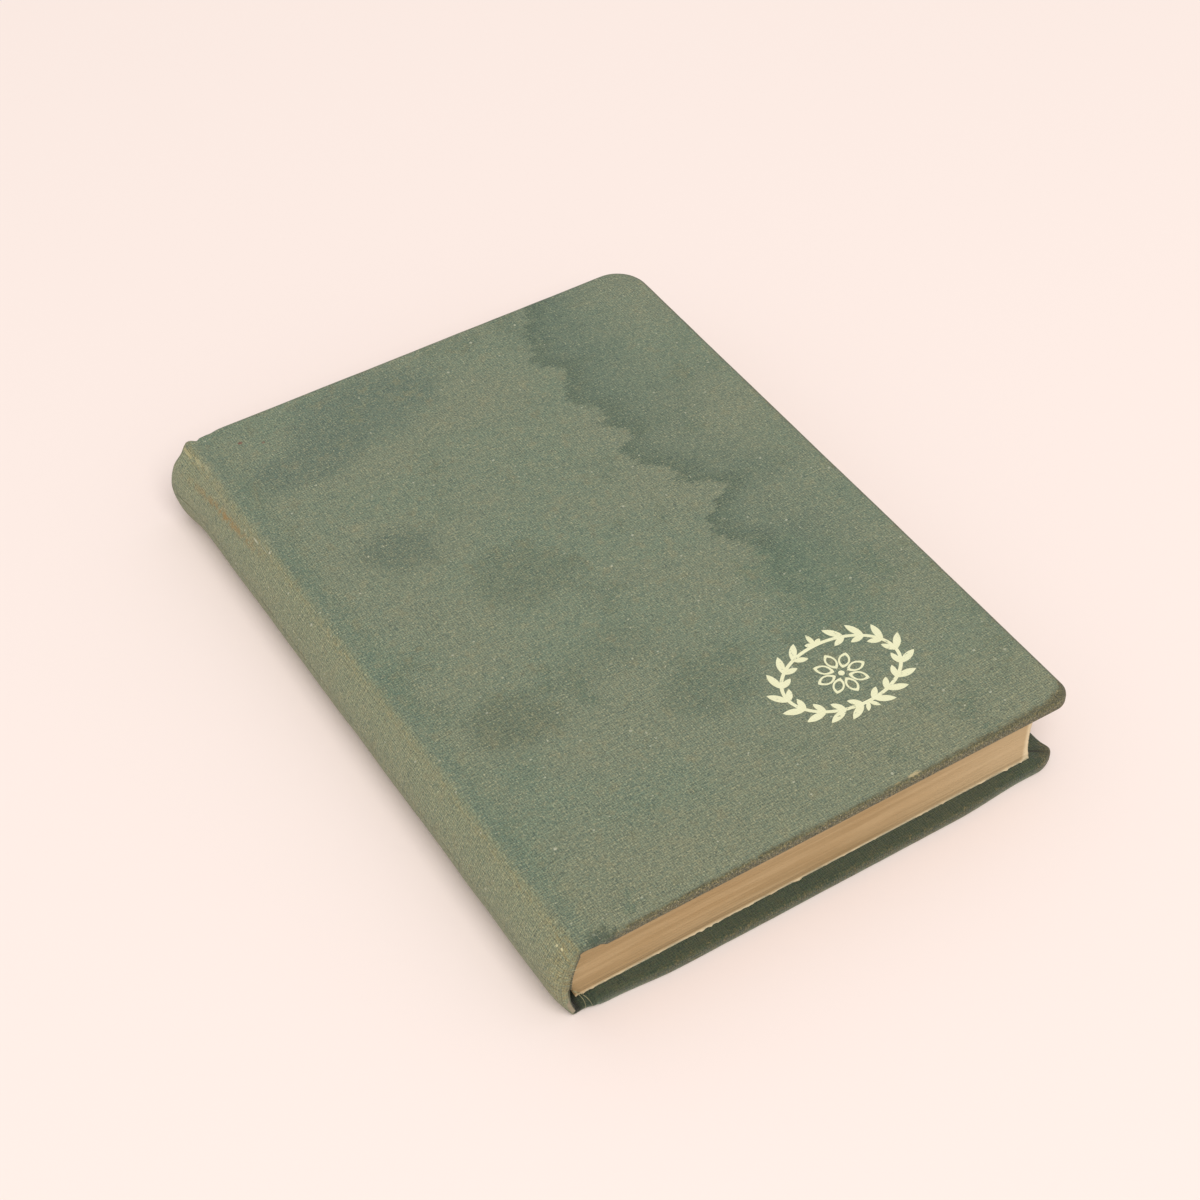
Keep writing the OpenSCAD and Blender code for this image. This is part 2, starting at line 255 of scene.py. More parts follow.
def plain_weave():
    """Two sets of threads that pass over and under each other. The vector is in millimetres."""
    g, given, out = new_group(
        "plain_weave",
        {"Vector": ("NodeSocketVector", None), "Pitch": ("NodeSocketFloat", 0.6),
         "Slack": ("NodeSocketFloat", 0.12)},
        {"Height": "NodeSocketFloat", "Warp tone": "NodeSocketFloat", "Weft tone": "NodeSocketFloat",
         "Over": "NodeSocketFloat"})
    x, y, _ = g.parts(given["Vector"])
    drift_x = g.calc("SUBTRACT", g.noise(g.scaled(given["Vector"], (0.9, 0.12, 1)), 1, 2), 0.5)
    drift_y = g.calc("SUBTRACT", g.noise(g.scaled(given["Vector"], (0.12, 0.9, 1)), 1, 2), 0.5)
    turns = g.calc("DIVIDE", math.pi, given["Pitch"])
    slack = g.calc("MULTIPLY", given["Slack"], 8)
    across = g.calc("SINE", g.calc("MULTIPLY", g.calc("MULTIPLY_ADD", drift_x, slack, x), turns))
    along = g.calc("SINE", g.calc("MULTIPLY", g.calc("MULTIPLY_ADD", drift_y, slack, y), turns))
    over = g.step(g.calc("MULTIPLY", across, along), -0.3, 0.3)
    warp = g.calc("ABSOLUTE", across)
    weft = g.calc("ABSOLUTE", along)
    height = g.calc("ADD", g.calc("MULTIPLY", warp, over),
                    g.calc("MULTIPLY", weft, g.calc("SUBTRACT", 1, over)))
    g.plug(out["Height"], height)
    g.plug(out["Over"], over)
    g.plug(out["Warp tone"], g.noise(g.scaled(given["Vector"], (2.4, 0.45, 1)), 1, 3, 0.75))
    g.plug(out["Weft tone"], g.noise(g.scaled(given["Vector"], (0.45, 2.4, 1), 0, (7, 3, 0)), 1, 3, 0.75))
    return g.tree


def paper_grain():
    """Fine fibres and soft blotches of old paper. The vector is in millimetres."""
    g, given, out = new_group(
        "paper_grain",
        {"Vector": ("NodeSocketVector", None), "Light": ("NodeSocketColor", srgb(232, 220, 192)),
         "Dark": ("NodeSocketColor", srgb(205, 184, 145))},
        {"Color": "NodeSocketColor", "Height": "NodeSocketFloat"})
    blotch = g.noise(g.scaled(given["Vector"], (0.05, 0.05, 0.05)), 1, 4, 0.6)
    fibre = g.noise(g.scaled(given["Vector"], (1.8, 2.6, 2.2)), 1, 4, 0.7)
    shade = g.calc("ADD", g.calc("MULTIPLY", blotch, 0.75), g.calc("MULTIPLY", fibre, 0.25))
    g.plug(out["Color"], g.mix(g.step(shade, 0.35, 0.65), given["Dark"], given["Light"]))
    g.plug(out["Height"], fibre)
    return g.tree


WEAVE = plain_weave()
GRAIN = paper_grain()


def new_material(name, roughness=0.85):
    made = bpy.data.materials.new(name)
    made.use_nodes = True
    g = Graph(made.node_tree)
    shader = made.node_tree.nodes["Principled BSDF"]
    shader.inputs["Roughness"].default_value = roughness
    shader.inputs["Specular IOR Level"].default_value = 0.25
    return made, g, shader


def in_mm(g):
    """Object coordinates in millimetres."""
    return g.scaled(g.node("ShaderNodeTexCoord").outputs["Object"], (1000, 1000, 1000))


def on_cloth(g):
    """Place on the flat cloth in millimetres, from the piece's own map: x from the spine's middle, y from
    the tail."""
    return g.scaled(g.node("ShaderNodeUVMap", uv_map="flat_cloth").outputs[0], (CHART, CHART, 1))


def from_above(g):
    """Place on the closed book in millimetres, from the piece's own map: x from the spine, y from the
    tail."""
    return g.scaled(g.node("ShaderNodeUVMap", uv_map="from_above").outputs[0], (CHART, CHART, 1))


def painted(g, name):
    """A share from 0 up that the piece's own mesh carries."""
    return g.node("ShaderNodeAttribute", attribute_name=name).outputs["Fac"]


SAGE = srgb(133, 141, 115)
TEAL = srgb(119, 138, 114)
TAN = srgb(142, 134, 100)
SHADE = srgb(108, 124, 100)
WARM = srgb(140, 142, 112)
WET = srgb(98, 118, 98)
TIDE = srgb(86, 104, 82)
FADED = srgb(148, 154, 120)

# Line where the water stain stopped: height over the tail and distance from the spine, in millimetres
TIDE_LINE = [
    (0, 112), (50, 106), (66.4, 102.7), (74.7, 106.2), (81.4, 105.8), (88.8, 100.1), (93.9, 100.8),
    (99.7, 109.3), (102.8, 113.9), (110.2, 103.9), (115.2, 105), (119.2, 100.9), (127.1, 96.3), (132, 103.7),
    (139.8, 99.5), (143, 103.3), (150.4, 96.2), (156.9, 98.7), (164.2, 102.5), (169.5, 95.8), (173.5, 98.8),
    (182.3, 100.7), (187.7, 105.8), (192, 108)]
# The ramp that holds the line starts at this distance from the spine and covers this width
TIDE_START = 90
TIDE_WIDTH = 30

# Older blots of water: place on the cover, reach, strength and colour
BLOTS = [
    ((50, 178), (32, 19), 0.9, srgb(104, 123, 104)), ((28, 168), (22, 12), 0.9, srgb(103, 121, 102)),
    ((31, 127), (17, 13), 0.85, srgb(102, 119, 99)), ((52, 101.5), (17, 14), 0.7, srgb(107, 122, 98)),
    ((27, 62), (17, 13), 0.75, srgb(102, 115, 91)), ((21, 49), (10, 10), 0.6, srgb(107, 130, 108)),
    ((58, 70), (18, 12), 0.4, srgb(105, 120, 97)), ((71, 47), (18, 12), 0.6, srgb(105, 121, 98)),
    ((112, 62), (22, 26), 0.6, srgb(104, 126, 102))]

# Small marks on the front, and painted highlights along the edge of a blister near the spine: place on the
# flat cloth, reach, strength and colour
MARKS_AND_HIGHLIGHTS = [
    ((24, 183.4), (0.9, 0.7), 0.7, srgb(122, 62, 44)),
    ((29.2, 180.4), (0.7, 0.6), 0.6, srgb(122, 70, 52)),
    ((102.2, 0.4), (2.6, 1.2), 0.8, srgb(222, 200, 148)),
    ((97.5, 0.2), (1.6, 0.8), 0.6, srgb(190, 168, 116)),
    ((9.8, 5.8), (0.5, 0.45), 0.9, srgb(232, 222, 172)),
    ((10.2, 4.2), (0.4, 0.55), 0.9, srgb(232, 222, 172)),
    # Painted highlights: pale lines along the blister's edge
    ((11.3, 150.4), (0.35, 1.6), 0.8, srgb(196, 196, 170)),
    ((11.7, 146.5), (0.3, 2.6), 0.5, srgb(176, 178, 150)),
    ((12.4, 144), (0.6, 0.35), 0.8, srgb(206, 204, 180)),
    ((10.9, 189.2), (0.7, 3.2), 0.6, srgb(198, 190, 140)),
    ((11.7, 184.4), (0.8, 2.8), 0.55, srgb(200, 194, 148)),
    ((12.6, 180.4), (0.8, 2.2), 0.45, srgb(194, 190, 150))]


def tide(g, place, x, y, mottle):
    """The front cover's water stain: how wet each place was, and the dark rim where the water stopped."""
    edge = g.calc("MULTIPLY", g.ramp(g.calc("DIVIDE", y, COVER_H), [
        (up / COVER_H, (across - TIDE_START) / TIDE_WIDTH) for up, across in TIDE_LINE]), TIDE_WIDTH)
    teeth = g.calc("SUBTRACT", g.noise(g.scaled(place, (0.06, 0.5, 1)), 1, 4, 0.7), 0.5)
    curls = g.calc("SUBTRACT", mottle, 0.5)
    fine = g.calc("SUBTRACT", g.noise(g.scaled(place, (0.12, 1.3, 1), 0, (0, 5, 0)), 1, 3, 0.7), 0.5)
    bound = g.calc("MULTIPLY_ADD", teeth, 11, g.calc("ADD", edge, TIDE_START))
    bound = g.calc("MULTIPLY_ADD", fine, 9, g.calc("MULTIPLY_ADD", curls, 5, bound))
    inside = g.calc("SUBTRACT", x, bound)
    high = g.step(y, 44, 78)
    wet = g.calc("MULTIPLY", g.step(inside, -0.6, 1.2), high)
    fading = g.calc("SUBTRACT", 1, g.step(inside, 2, 32))
    far = g.step(g.noise(g.scaled(place, (0.03, 0.03, 1), 0, (2, 0, 0)), 1, 4, 0.6), 0.4, 0.65)
    rim = g.calc("MULTIPLY", wet, g.calc("SUBTRACT", 1, g.step(inside, 0.5, 11)))
    share = g.calc("MULTIPLY_ADD", fading, 0.75, g.calc("MULTIPLY", far, 0.25))
    return g.calc("MULTIPLY", wet, share), rim


def book_cloth(name, stained):
    """Old plain-weave book cloth: faded, spotted, stained where it was wet, worn to tan on its edges,
    darkened with grime and painted shade where it turns in, and on the front given painted highlights along a
    blister's edge.
    """
    material, g, shader = new_material(name, 0.9)
    place = on_cloth(g)
    x, y, _ = g.parts(place)
    seen_x, seen_y, _ = g.parts(from_above(g))
    weave = use_group(g, WEAVE, Vector=place)
    ragged = g.noise(g.scaled(place, (0.5, 0.5, 1)), 1, 5, 0.7)
    fleck = g.noise(place, 1.9, 2, 0.85)

    # Broad clouds of sage and of a cooler green
    cloud = g.noise(g.scaled(place, (0.02, 0.03, 1)), 1, 5, 0.6)
    colour = g.mix(g.calc("MULTIPLY_ADD", g.step(cloud, 0.4, 0.62), 0.6, 0.2), SAGE, TEAL)
    mottle = g.noise(g.scaled(place, (0.22, 0.22, 1), 15), 1, 3, 0.65)
    patch = g.noise(g.scaled(place, (0.045, 0.045, 1), 20, (4, 9, 0)), 1, 5, 0.62)
    colour = g.mix(g.calc("MULTIPLY", g.step(patch, 0.54, 0.72), 0.35), colour, SHADE)

    tan_share = 0.5
    if stained:
        colour = g.mix(g.calc("SUBTRACT", 0.5, g.step(y, 0, 60), clamp=True), colour, WARM)
        wet, rim = tide(g, place, seen_x, seen_y, mottle)
        colour = g.mix(g.calc("MULTIPLY", wet, 0.9), colour, WET)
        colour = g.mix(g.calc("MULTIPLY", rim, 0.7), colour, TIDE)
        tan_share = g.calc("MULTIPLY_ADD", wet, -0.3, 0.5)
        for at, reach, depth, shade in BLOTS:
            blot = g.near(seen_x, seen_y, at, reach)
            blot = g.calc("MULTIPLY_ADD", g.calc("SUBTRACT", patch, 0.5), 1.5, blot)
            blot = g.calc("MULTIPLY_ADD", g.calc("SUBTRACT", mottle, 0.5), 1.1, blot)
            blot = g.calc("MULTIPLY_ADD", g.calc("SUBTRACT", ragged, 0.5), 0.5, blot)
            colour = g.mix(g.calc("MULTIPLY", g.step(blot, 0.12, 0.55), depth), colour, shade)

    groove = g.calc("MULTIPLY", painted(g, "groove"), g.calc("MULTIPLY_ADD", patch, 1.2, 0.2))
    colour = g.mix(g.calc("MULTIPLY", groove, 0.6, clamp=True), colour, srgb(104, 128, 106))
    colour = g.mix(g.calc("MULTIPLY", painted(g, "faded"), 0.8), colour, FADED)
    streaks = g.noise(g.scaled(place, (1.3, 0.4, 1)), 1, 4, 0.7)
    straw = g.calc("MULTIPLY", painted(g, "straw"), g.step(streaks, 0.4, 0.62))
    colour = g.mix(g.calc("MULTIPLY", straw, 0.7, clamp=True), colour, srgb(162, 148, 96))

    # Threads that faded to tan or stayed blue-green, both ways
    warp = g.step(weave["Warp tone"], 0.5, 0.64)
    weft = g.step(weave["Weft tone"], 0.5, 0.64)
    tan = g.calc("MAXIMUM", g.calc("MULTIPLY", warp, weave["Over"]), weft)
    tan = g.calc("MAXIMUM", tan, g.step(mottle, 0.5, 0.7))
    colour = g.mix(g.calc("MULTIPLY", tan, tan_share), colour, TAN)
    darker = g.calc("MINIMUM", weave["Warp tone"], weave["Weft tone"])
    cool = g.calc("SUBTRACT", 1, g.step(darker, 0.34, 0.46))
    colour = g.mix(g.calc("MULTIPLY", cool, 0.5), colour, srgb(104, 128, 114))

    # Light and shade of the threads, as a share of the colour: each noise varies it about its own middle
    thread_tone = g.calc("MAXIMUM", weave["Warp tone"], weave["Weft tone"])
    tone = g.calc("MULTIPLY_ADD", thread_tone, 1.7, 0.98 - 1.7 * 0.56)
    tone = g.calc("MULTIPLY_ADD", fleck, 1.9, g.calc("SUBTRACT", tone, 0.95))
    tone = g.calc("MULTIPLY_ADD", weave["Height"], 0.4, g.calc("SUBTRACT", tone, 0.256))
    tone = g.calc("MULTIPLY_ADD", mottle, 0.35, g.calc("SUBTRACT", tone, 0.175))
    tone = g.calc("MULTIPLY_ADD", ragged, 0.3, g.calc("SUBTRACT", tone, 0.15))
    colour = g.mix(1, colour, g.calc("MAXIMUM", tone, 0.25), "MULTIPLY")
    dust = g.noise(g.scaled(place, (1, 1, 1), 0, (40, 7, 0)), 0.8, 0)
    colour = g.mix(g.calc("MULTIPLY", g.step(dust, 0.82, 0.85), 0.7), colour, srgb(198, 198, 172))

    # Grime and painted shade on the turned-in cloth and the board's edges; shares past 1 paint a near-black
    # shadow in the tucks by the spine
    grime_and_shade = g.calc("MULTIPLY", painted(g, "grime_and_shade"), g.calc("MULTIPLY_ADD", fleck, 0.6, 0.7), clamp=True)
    colour = g.mix(grime_and_shade, colour, (0.3, 0.32, 0.26, 1), "MULTIPLY")
    colour = g.mix(g.calc("MULTIPLY", g.step(painted(g, "grime_and_shade"), 1.1, 1.9), 0.75), colour, srgb(24, 23, 16))
    # Painted shade: a near-black line along each corner's mitre on the turned-in cloth
    to_fore = g.calc("SUBTRACT", BOARD_END + (LEAN / 2 if stained else -LEAN / 2), seen_x)
    to_end = g.calc("MINIMUM", seen_y, g.calc("SUBTRACT", COVER_H, seen_y))
    off_mitre = g.calc("ABSOLUTE", g.calc("SUBTRACT", to_fore, to_end))
    mitre_shade = g.calc("SUBTRACT", 1, g.step(off_mitre, 0.1, 0.55))
    mitre_shade = g.calc("MULTIPLY", mitre_shade, g.step(painted(g, "grime_and_shade"), 0.6, 0.95))
    colour = g.mix(g.calc("MULTIPLY", mitre_shade, g.calc("LESS_THAN", to_end, TURN_IN)), colour, srgb(38, 36, 25))

    # Edges rubbed to brown, ragged where the wear ends
    loose = g.calc("MULTIPLY", g.calc("SUBTRACT", g.calc("ADD", ragged, fleck), 1), 1.7)
    worn = g.step(g.calc("ADD", painted(g, "worn"), loose), 0.3, 0.8)
    rubbed = g.ramp(g.noise(place, 1.5, 4, 0.75), [
        (0.36, srgb(40, 40, 26)), (0.45, srgb(78, 75, 48)),
        (0.55, srgb(106, 99, 64)), (0.65, srgb(154, 136, 88))])
    colour = g.mix(g.calc("MULTIPLY", worn, 0.9), colour, rubbed)
    rust = g.calc("MULTIPLY", painted(g, "rust"), g.step(ragged, 0.4, 0.56))
    colour = g.mix(g.calc("MULTIPLY", rust, 0.7, clamp=True), colour, srgb(160, 126, 68))

    if stained:
        smudge = g.near(seen_x, seen_y, (11, 0.8), (7, 3.6))
        smudge = g.calc("MULTIPLY_ADD", g.calc("SUBTRACT", ragged, 0.5), 2.2, smudge)
        colour = g.mix(g.calc("MULTIPLY", g.step(smudge, 0.2, 0.8), 0.65), colour, srgb(58, 74, 58))
        # Small marks, and painted highlights along the blister's edge
        for at, reach, depth, shade in MARKS_AND_HIGHLIGHTS:
            mark_mask = g.calc("MULTIPLY_ADD", g.calc("SUBTRACT", fleck, 0.5), 1.2, g.near(x, y, at, reach))
            colour = g.mix(g.calc("MULTIPLY", g.step(mark_mask, 0.1, 0.6), depth), colour, shade)
    g.plug(shader.inputs["Base Color"], colour)
    g.plug(shader.inputs["Roughness"], g.calc("MULTIPLY_ADD", worn, -0.12, 0.92))
    shader.inputs["Sheen Weight"].default_value = 0.15
    shader.inputs["Sheen Roughness"].default_value = 0.6
    lumps = g.noise(g.scaled(place, (1.1, 1.1, 1)), 1, 3, 0.6)
    height = g.calc("ADD", weave["Height"], g.calc("MULTIPLY", lumps, 0.7))
    g.plug(shader.inputs["Normal"], g.bump(height, 0.00018, 1))
    return material


def leaf_edges():
    """Cut edges of browned leaves: fine lines that run with the leaves, blotches, and paler where torn."""
    material, g, shader = new_material("browned_leaf_edges", 0.92)
    place = in_mm(g)
    x, y, z = g.parts(place)
    wave = g.calc("MULTIPLY", g.calc("SUBTRACT", g.noise(g.scaled(place, (0.02, 0.02, 0.1)), 1, 3), 0.5), 1.6)
    level = g.calc("ADD", z, wave)
    flat = g.node("ShaderNodeCombineXYZ")
    g.plug(flat.inputs[0], g.calc("MULTIPLY", x, 0.02))
    g.plug(flat.inputs[1], g.calc("MULTIPLY", y, 0.02))
    g.plug(flat.inputs[2], level)
    fine = g.noise(flat.outputs[0], 7, 3, 0.7)
    broad = g.noise(g.scaled(flat.outputs[0], (1, 1, 0.5), 0, (3, 1, 5)), 1, 3, 0.6)
    blotch = g.noise(g.scaled(place, (0.05, 0.05, 0.2)), 1, 4, 0.6)
    colour = g.mix(g.step(broad, 0.36, 0.64), srgb(173, 145, 104), srgb(188, 160, 119))
    colour = g.mix(g.calc("MULTIPLY", g.step(blotch, 0.45, 0.7), 0.4), colour, srgb(176, 144, 100))
    corner = g.calc("MULTIPLY", g.step(x, 15, 62), g.calc("MULTIPLY_ADD", blotch, 0.6, 0.4))
    colour = g.mix(g.calc("MULTIPLY", corner, 0.7), colour, srgb(208, 184, 146))
    lines = g.calc("SUBTRACT", 1, g.step(fine, 0.3, 0.46))
    colour = g.mix(g.calc("MULTIPLY", lines, 0.32), colour, srgb(142, 114, 78))
    colour = g.mix(g.calc("MULTIPLY", g.step(x, 60.2, 61.6), 0.85), colour, srgb(236, 216, 178))
    for height, reach, depth in ((5.3, 0.16, 0.5), (6.3, 0.12, 0.35), (4.5, 0.12, 0.45)):
        fold = g.calc("SUBTRACT", 1, g.step(g.calc("ABSOLUTE", g.calc("SUBTRACT", level, height)), 0, reach))
        fold = g.calc("MULTIPLY", fold, g.calc("SUBTRACT", 1.15, g.step(x, -55, 45), clamp=True))
        colour = g.mix(g.calc("MULTIPLY", fold, depth), colour, srgb(118, 100, 84))
    torn = painted(g, "torn")
    colour = g.mix(g.calc("MULTIPLY", torn, g.step(fine, 0.35, 0.5)), colour, srgb(228, 210, 174))
    g.plug(shader.inputs["Base Color"], colour)
    height = g.calc("ADD", fine, g.calc("MULTIPLY", g.noise(place, 3, 3, 0.7), 0.4))
    g.plug(shader.inputs["Normal"], g.bump(height, 0.00012, 0.6))
    return material


def old_paper(name, light, dark):
    """Matte old paper or card between two tones."""
    material, g, shader = new_material(name, 0.88)
    grain = use_group(g, GRAIN, Vector=in_mm(g), Light=light, Dark=dark)
    g.plug(shader.inputs["Base Color"], grain["Color"])
    g.plug(shader.inputs["Normal"], g.bump(grain["Height"], 0.00004, 0.5))
    return material


def open_mull():
    """Open-weave cotton that lines the joints."""
    material, g, shader = new_material("open_weave_cotton", 0.9)
    place = in_mm(g)
    weave = use_group(g, WEAVE, Vector=g.scaled(place, (1, 1, 1)), Pitch=1.1)
    colour = g.mix(weave["Height"], srgb(150, 132, 100), srgb(222, 213, 188))
    g.plug(shader.inputs["Base Color"], colour)
    g.plug(shader.inputs["Normal"], g.bump(weave["Height"], 0.00015, 0.8))
    return material


def pale_foil():
    """Cream pigment foil pressed into the cloth, whose weave shows through it and breaks it in places."""
    material, g, shader = new_material("cream_foil", 0.55)
    place = in_mm(g)
    weave = use_group(g, WEAVE, Vector=place)
    gap = g.step(g.noise(place, 1.1, 4, 0.7), 0.6, 0.68)
    colour = g.mix(g.noise(place, 0.4, 3), srgb(236, 233, 190), srgb(246, 245, 208))
    hollow = g.calc("MULTIPLY", g.calc("SUBTRACT", 1, weave["Height"]), 0.25)
    colour = g.mix(hollow, colour, srgb(196, 196, 150))
    colour = g.mix(g.calc("MULTIPLY", gap, 0.7), colour, SAGE)
    g.plug(shader.inputs["Base Color"], colour)
    g.plug(shader.inputs["Normal"], g.bump(weave["Height"], 0.00008, 0.5))
    return material


# ---------------------------------------------------------------- the cloth case


def spine_section(side):
    """Path of the cloth from the middle of the spine to where the cover is flat, as x and z seen from the
    tail and the share of the spine's bulge, for the front half or the back half."""
    def slip(z):
        return LEAN * (z / BOOK_T - 0.5)
    points = []
    for s in np.linspace(0, 1, 17):
        z = BOOK_T / 2 + side * s * (BOOK_T / 2 - SHOULDER_DROP)
        points.append((SPINE_DEPTH * s ** SPINE_ROUND + slip(z), z, 1 - s ** SPINE_ROUND))
    shift = side * LEAN / 2
    for x, drop in JOINT_GROOVE:
        z = BOOK_T - drop if side == FRONT else drop
        points.append((x + shift, z, 0))
    return np.array(points)


def even_path(points, count):
    """The same path with that many points, evenly spaced and with its kinks eased."""
    for _ in range(2):
        inner = (points[:-2] + 2 * points[1:-1] + points[2:]) / 4
        points = np.vstack([points[:1], inner, points[-1:]])
    steps = np.hypot(*np.diff(points[:, :2], axis=0).T)
    length = np.concatenate([[0], np.cumsum(steps)])
    marks = np.linspace(0, length[-1], count)
    return np.column_stack([np.interp(marks, length, points[:, k]) for k in range(3)]), marks


def past_edge(kind, share):
    """How far the flat cloth reaches past a cover's edge at a station on the fold round it."""
    return share * ROUND_EDGE if kind == "wrap" else ROUND_EDGE + share * UNDER_BOARD


def cloth_half(name, side):
    """The front or back half of the case: one sheet from the middle of the spine over the joint and the
    board, turned in round three edges of the board and both ends of the spine."""
    path, marks = even_path(spine_section(side), 44)
    tangent = np.gradient(path[:, :2], axis=0)
    tangent /= np.linalg.norm(tangent, axis=1)[:, None]
    inward = np.column_stack([tangent[:, 1], -tangent[:, 0]]) * side
    board_end = BOARD_END + side * LEAN / 2
    start = path[-1, 0]
    tail_r, head_r = CORNER_R[side]

    near_edge = sorted({EDGE_R, 1.6, 2.4, 3.4, 4.5, 6, 7.5, 9, 10.5, 12, 13.5, TURN_IN, tail_r, head_r})
    wrap = [(i + 1) / 9 for i in range(9)]
    tucked = [0.12, 0.3, 0.5, 0.75, 1]

    # Stations across: along the path, over the board, round its fore edge
    board = list(np.arange(start + 1.4, board_end - TURN_IN - 0.7, 1.45))
    flat_x = board + [board_end - d for d in reversed(near_edge)]
    across = [("path", k) for k in range(len(path))]
    across += [("flat", x) for x in flat_x] + [("wrap", f) for f in wrap] + [("tuck", f) for f in tucked]
    # Stations along: the tail's turn-in, the face, the head's turn-in
    middle = list(np.linspace(TURN_IN, COVER_H - TURN_IN, 112))[1:-1]
    face_y = near_edge + middle + [COVER_H - d for d in reversed(near_edge)]
    along = [("tuck", f, 0) for f in reversed(tucked)] + [("wrap", f, 0) for f in reversed(wrap)]
    along += [("flat", y, 0) for y in face_y]
    along += [("wrap", f, 1) for f in wrap] + [("tuck", f, 1) for f in tucked]

    def folded(kind, f, e, thick):
        """Inset from the edge and depth under the face, for a station on the fold round an edge."""
        if kind == "tuck":
            return e + f * (TURN_IN - e), thick
        straight = thick - 2 * e
        run = f * (math.pi * e + straight)
        quarter = math.pi * e / 2
        if run < quarter:
            return e * (1 - math.sin(run / e)), e * (1 - math.cos(run / e))
        if run < quarter + straight:
            return 0, e + run - quarter
        a = (run - quarter - straight) / e
        return e * (1 - math.cos(a)), thick - e + e * math.sin(a)

    def one_point(u, v):
        kind_u, at_u = u
        kind_v, at_v, head = v
        if kind_v == "flat":
            head = at_v > HALF_H
        y_end = COVER_H if head else 0
        turn = -1 if head else 1
        radius = head_r if head else tail_r
        if kind_u == "path":
            x, z, bulge = path[at_u]
            blend = float(smooth((x - side * LEAN / 2 - 10) / 1.6))
            hollow = 0.93 + LINER_T * float(smooth((bulge - 0.08) / 0.1))
            # Over the board the turned-in cloth lies level, whatever the joint's groove does
            drop = BOOK_T - z if side == FRONT else z
            thick = hollow + (COVER_T - drop - hollow) * blend
            e = min(EDGE_R, thick / 2 - 0.01)
            inset, depth = (0, 0) if kind_v == "flat" else folded(kind_v, at_v, e, thick)
            y = at_v if kind_v == "flat" else y_end + turn * inset
            from_end = min(y, COVER_H - y)
            if kind_v == "flat" and from_end < EDGE_R + 0.01:
                y = e if y < HALF_H else COVER_H - e
                from_end = e
            u_curl = max(0, 1 - from_end / CURL_LEN)
            # The head stands out further than the tail
            curl = END_CURL * (1 if y < HALF_H else 0.3)
            x = x + curl * (1 - math.sqrt(max(0, 1 - u_curl * u_curl))) * bulge
            normal = inward[at_u]
            return x + normal[0] * depth, y, z + normal[1] * depth, marks[at_u]
        flat_u = marks[-1] - start + (at_u if kind_u == "flat" else board_end + past_edge(kind_u, at_u))
        # Distances past the corner's centre, both ways
        du = at_u - (board_end - radius) if kind_u == "flat" else radius + at_u
        dv = radius - min(at_v, COVER_H - at_v) if kind_v == "flat" else radius + at_v
        if kind_u == "tuck":
            du = radius + 1 + at_u
        if kind_v == "tuck":
            dv = radius + 1 + at_v
        kind_m, at_m = (kind_u, at_u) if du >= dv else (kind_v, at_v)
        if kind_m == "flat":
            inset = radius - max(du, dv)
            depth = 0
        else:
            inset, depth = folded(kind_m, at_m, EDGE_R, COVER_T)
        cx = board_end - radius
        cy = y_end + turn * radius
        if du > 0 and dv > 0:
            ratio = min(du, dv) / max(du, dv)
            angle = math.radians(45 * ratio)
            if du < dv:
                angle = math.pi / 2 - angle
            reach = max(radius - inset, 0)
            x = cx + reach * math.cos(angle)
            y = cy - turn * reach * math.sin(angle)
        elif du > 0:
            x = board_end - inset
            y = at_v
            gap = abs(y - y_end)
            if kind_u == "tuck" and board_end - x > gap:
                x = board_end - gap
                depth -= MITRE_LAP
        elif dv > 0:
            x = at_u
            y = y_end + turn * inset
            gap = board_end - x
            if kind_v == "tuck" and inset > gap:
                y = y_end + turn * gap
                depth -= MITRE_LAP
        else:
            x, y, depth = at_u, at_v, 0
        z = BOOK_T - depth if side == FRONT else depth
        return x, y, z, flat_u

    count_u = len(across)
    count_v = len(along)
    mesh = bmesh.new()
    bmesh.ops.create_grid(mesh, x_segments=count_u - 1, y_segments=count_v - 1, size=0.5)
    groove = mesh.verts.layers.float.new("groove")
    faded = mesh.verts.layers.float.new("faded")
    worn = mesh.verts.layers.float.new("worn")
    rust = mesh.verts.layers.float.new("rust")
    straw = mesh.verts.layers.float.new("straw")
    grime_and_shade = mesh.verts.layers.float.new("grime_and_shade")
    chart = mesh.loops.layers.uv.new("flat_cloth")
    seen_chart = mesh.loops.layers.uv.new("from_above")
    flat_place = {}
    seen_place = {}
    for vert in mesh.verts:
        i = round((vert.co.x + 0.5) * (count_u - 1))
        j = round((vert.co.y + 0.5) * (count_v - 1))
        x, y, z, flat_u = one_point(across[i], along[j])
        kind_v, at_v, head = along[j]
        flat_v = at_v
        if kind_v != "flat":
            flat_v = COVER_H + past_edge(kind_v, at_v) if head else -past_edge(kind_v, at_v)
        flat_place[vert] = (flat_u, flat_v)
        seen_place[vert] = (x, y)
        if side == FRONT:
            x += 0.55 * float(smooth((x - 90) / 48))
        else:
            near_tail = 1 - float(smooth(y / 60))
            y -= 1.15 * near_tail * float(smooth((x - 13) / 18) * (1 - smooth((x - 108) / 22)))
            x += 1.3 * float(smooth((x - 131) / 5)) * math.exp(-((y - 2.6) / 2.2) ** 2)
            y += float(smooth((x - 1.5) / 4) * (1 - smooth((x - 7) / 4)) * (1 - smooth(y / 12)))
        along_spine = 0.6 + 0.4 * rough(0, y, 3, 14)
        vert[groove] = float(smooth((x - 6) / 2) * (1 - smooth((x - 9) / 4.5)))
        vert[faded] = float(1 - smooth((x - 4.6) / 2.6))
        depth = BOOK_T - z if side == FRONT else z
